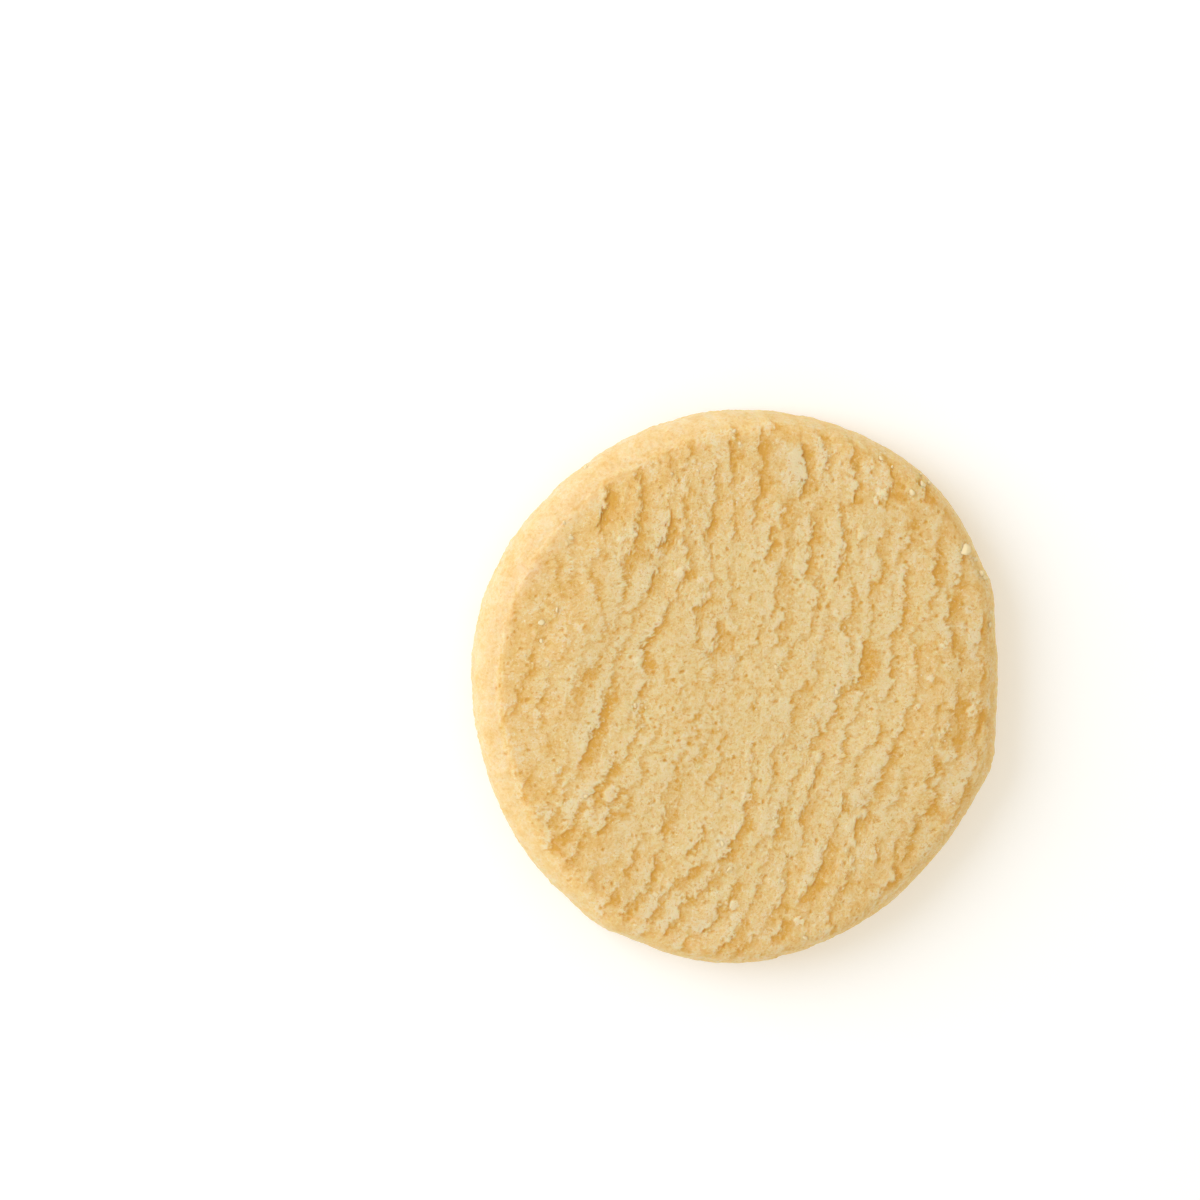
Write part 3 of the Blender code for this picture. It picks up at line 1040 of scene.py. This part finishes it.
# grain of the dough, from two noises: a speckle about 0, weaker on the smooth rim; hairlines where
# the second noise crosses its middle and the first is low, from 0 to 1; and a height
def grainGroup():
    group = bpy.data.node_groups.new("doughGrain", "ShaderNodeTree")
    for name in ("Scale", "Torn"):
        group.interface.new_socket(name=name, in_out="INPUT", socket_type="NodeSocketFloat")
    for name in ("Speckle", "Hairline", "Height"):
        group.interface.new_socket(name=name, in_out="OUTPUT", socket_type="NodeSocketFloat")
    given = group.nodes.new("NodeGroupInput").outputs
    out = group.nodes.new("NodeGroupOutput").inputs
    place = group.nodes.new("ShaderNodeTexCoord").outputs["Object"]
    fine = noise(group, place, given["Scale"], grain["detail"], grain["roughness"])
    fine = calculate(group, "SUBTRACT", fine, 0.5)
    faint = mapRange(group, given["Torn"], 0, 1, grain["rimSpeckle"], 1.0)
    fine = calculate(group, "MULTIPLY", fine, faint)
    group.links.new(fine, out["Speckle"])
    group.links.new(fine, out["Height"])
    wide = noise(group, place, calculate(group, "MULTIPLY", given["Scale"], grain["hairCells"]), 1.0, 0.5)
    middle = calculate(group, "ABSOLUTE", calculate(group, "SUBTRACT", wide, 0.5))
    line = mapRange(group, middle, grain["hairWidth"], 0.0)
    line = calculate(group, "MULTIPLY", line, mapRange(group, given["Torn"], 0, 1, grain["rimHairs"], 1.0))
    line = calculate(group, "MULTIPLY", line, mapRange(group, fine, *grain["hairEdge"]))
    group.links.new(line, out["Hairline"])
    return group


# the group placed in a material, its cells so many mm across
def placeGrain(tree, group, across):
    node = tree.nodes.new("ShaderNodeGroup")
    node.node_tree = group
    feed(tree, node, {"Torn": attribute(tree, "torn"), "Scale": 1 / (across * mm)})
    return node.outputs


# colour by how baked the dough is, with painted shade on the crust away from the lamp, and crust
# where nothing is torn
def bakedColours(tree):
    baked = attribute(tree, "baked")
    crumbTone = mixColour(tree, baked, dough["crumbColour"], dough["bakedColour"])
    crustTone = mixColour(tree, baked, dough["crustColour"], dough["brownAndShadedColour"])
    return mixColour(tree, attribute(tree, "torn"), crustTone, crumbTone)


# what all the dough shares: its sheen, its glow, and a bump of the given depth in mm
def finish(tree, shader, colour, glow, height, depth):
    bump = tree.nodes.new("ShaderNodeBump")
    feed(tree, bump, {"Strength": 1.0, "Distance": depth * mm, "Height": height})
    feed(tree, shader, {
        "Base Color": colour, "Roughness": dough["roughness"], "Specular IOR Level": dough["specular"],
        "Subsurface Weight": glow, "Subsurface Radius": dough["glowReach"], "Subsurface Scale": mm,
        "Normal": bump.outputs["Normal"],
    })


# a new material's node tree and shader
def newMaterial(name):
    material = bpy.data.materials.new(name)
    material.use_nodes = True
    return material, material.node_tree, material.node_tree.nodes["Principled BSDF"]


# the crust: baked colour, painted shadow in amber below the edges and in creases, painted highlight
# pale on what stands out, with the dough's own tone, by a tone that is the speckle times its share
# plus the shade of the mesh; then specks of sugar and hairlines
def doughMaterial(group):
    material, tree, shader = newMaterial("bakedDough")
    speckle, hairline, height = placeGrain(tree, group, grain["cell"])
    tone = calculate(tree, "MULTIPLY_ADD", speckle, dough["speckle"], attribute(tree, "shade"))
    layers = [
        (mapRange(tree, tone, 0.0, dough["amberShadeTone"], kind="LINEAR"), "amberShadeColour"),
        (mapRange(tree, tone, 0.0, dough["paleHighlightTone"], kind="LINEAR"), "paleHighlightColour"),
        (mapRange(tree, speckle, *dough["sugarEdge"], 0, dough["sugarShare"]), "sugarColour"),
        (calculate(tree, "MULTIPLY", hairline, dough["hairShare"]), "pitColour"),
    ]
    colour = bakedColours(tree)
    for share, name in layers:
        colour = mixColour(tree, share, colour, dough[name])
    finish(tree, shader, colour, dough["glow"], height, dough["bump"])
    return material


# crumbs: the same baking, each crumb a little paler or yellower than the next
def crumbMaterial(group):
    material, tree, shader = newMaterial("looseDough")
    _, _, height = placeGrain(tree, group, grain["crumbCell"])
    loose = mapRange(tree, attribute(tree, "tone"), 0.0, 1.0, dough["looseShare"], 1.0)
    colour = mixColour(tree, loose, bakedColours(tree), dough["looseColour"])
    finish(tree, shader, colour, 0.0, height, dough["crumbBump"])
    return material


grainNodes = grainGroup()
crust.data.materials.append(doughMaterial(grainNodes))
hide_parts("biscuit")
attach(crust, "root")
looseDough = crumbMaterial(grainNodes)
for crumbs in (looseCrumbs, edgeCrumbs):
    crumbs.data.materials.append(looseDough)
    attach(crumbs, "root")
print("materials placed")


stage = {
    "floorHalf": 1.2,  # metres
    "floorGap": 0.02,  # below the base, so that the two surfaces don't meet
    "floorColour": (0.92, 0.915, 0.905),
    "floorRoughness": 0.9,
    "floorGlow": 0.13,  # the table is lit from below
    "glowColour": (1, 0.97, 0.93),
    "keyDirection": 158,  # degrees round from +X
    "keyHeight": 36,  # degrees above the floor
    "keyDistance": 0.9,  # metres
    "keySize": 0.7,  # metres
    "keyPower": 4.6,
    "keyColour": (0.87, 1.0, 1.225),
    "fill": 0.80,
    "fillColour": (1.0, 0.945, 0.83),
}

camera = {
    "tilt": 12,  # degrees between the view and the vertical
    "towards": 150,  # degrees round from +X: the side that the camera leans to
    "distance": 0.65,  # metres
    "lens": 180,
    "sensor": 36,
    "farClip": 20,  # metres
    "aside": (0.01503, -0.00957),  # metres: the biscuit's place right of and above the middle
}


# a square floor just below the base
def buildFloor():
    half = stage["floorHalf"]
    points = np.array([[-half, -half, 0], [half, -half, 0], [half, half, 0], [-half, half, 0]]) / mm
    points[:, 2] = -stage["floorGap"]
    floor = meshObject("floor", points, np.array([[0, 1, 2, 3]]), np.zeros((0, 3), int))
    material, tree, shader = newMaterial("paleFloor")
    feed(tree, shader, {
        "Base Color": stage["floorColour"], "Roughness": stage["floorRoughness"], "Specular IOR Level": 0.0,
        "Emission Color": stage["glowColour"], "Emission Strength": stage["floorGlow"],
    })
    floor.data.materials.append(material)


# a round lamp, placed by direction, height and distance and aimed at the origin, in a plain world
def buildLight():
    light = bpy.data.lights.new("key", "AREA")
    light.shape = "DISK"
    light.size = stage["keySize"]
    light.energy = stage["keyPower"]
    light.color = stage["keyColour"]
    key = bpy.data.objects.new("key", light)
    turn, up = math.radians(stage["keyDirection"]), math.radians(stage["keyHeight"])
    towards = np.array([math.cos(turn) * math.cos(up), math.sin(turn) * math.cos(up), math.sin(up)])
    key.location = towards * stage["keyDistance"]
    key.rotation_euler = (math.pi / 2 - up, 0, turn + math.pi / 2)
    bpy.context.scene.collection.objects.link(key)

    world = bpy.data.worlds.new("studio")
    world.use_nodes = True
    values = {"Color": stage["fillColour"], "Strength": stage["fill"]}
    feed(world.node_tree, world.node_tree.nodes["Background"], values)
    bpy.context.scene.world = world


# the camera leans from the vertical towards one side without turning about its own axis: a
# rotation about the level axis across that side, then a step back and aside along its own axes
def buildCamera():
    towards = math.radians(camera["towards"])
    axis = (-math.sin(towards), math.cos(towards), 0)
    lean = Matrix.Rotation(math.radians(camera["tilt"]), 4, axis)
    middle = (0, 0, (solidLow[2] + solidHigh[2]) / 2)
    right, up = camera["aside"]
    data = bpy.data.cameras.new("camera")
    data.lens = camera["lens"]
    data.sensor_width = camera["sensor"]
    data.clip_end = camera["farClip"]
    thing = bpy.data.objects.new("camera", data)
    step = Matrix.Translation((-right, -up, camera["distance"]))
    thing.matrix_world = Matrix.Translation(middle) @ lean @ step
    bpy.context.scene.collection.objects.link(thing)
    bpy.context.scene.camera = thing


buildFloor()
buildLight()
buildCamera()
bpy.context.scene.view_settings.view_transform = "Standard"
print("stage ready")
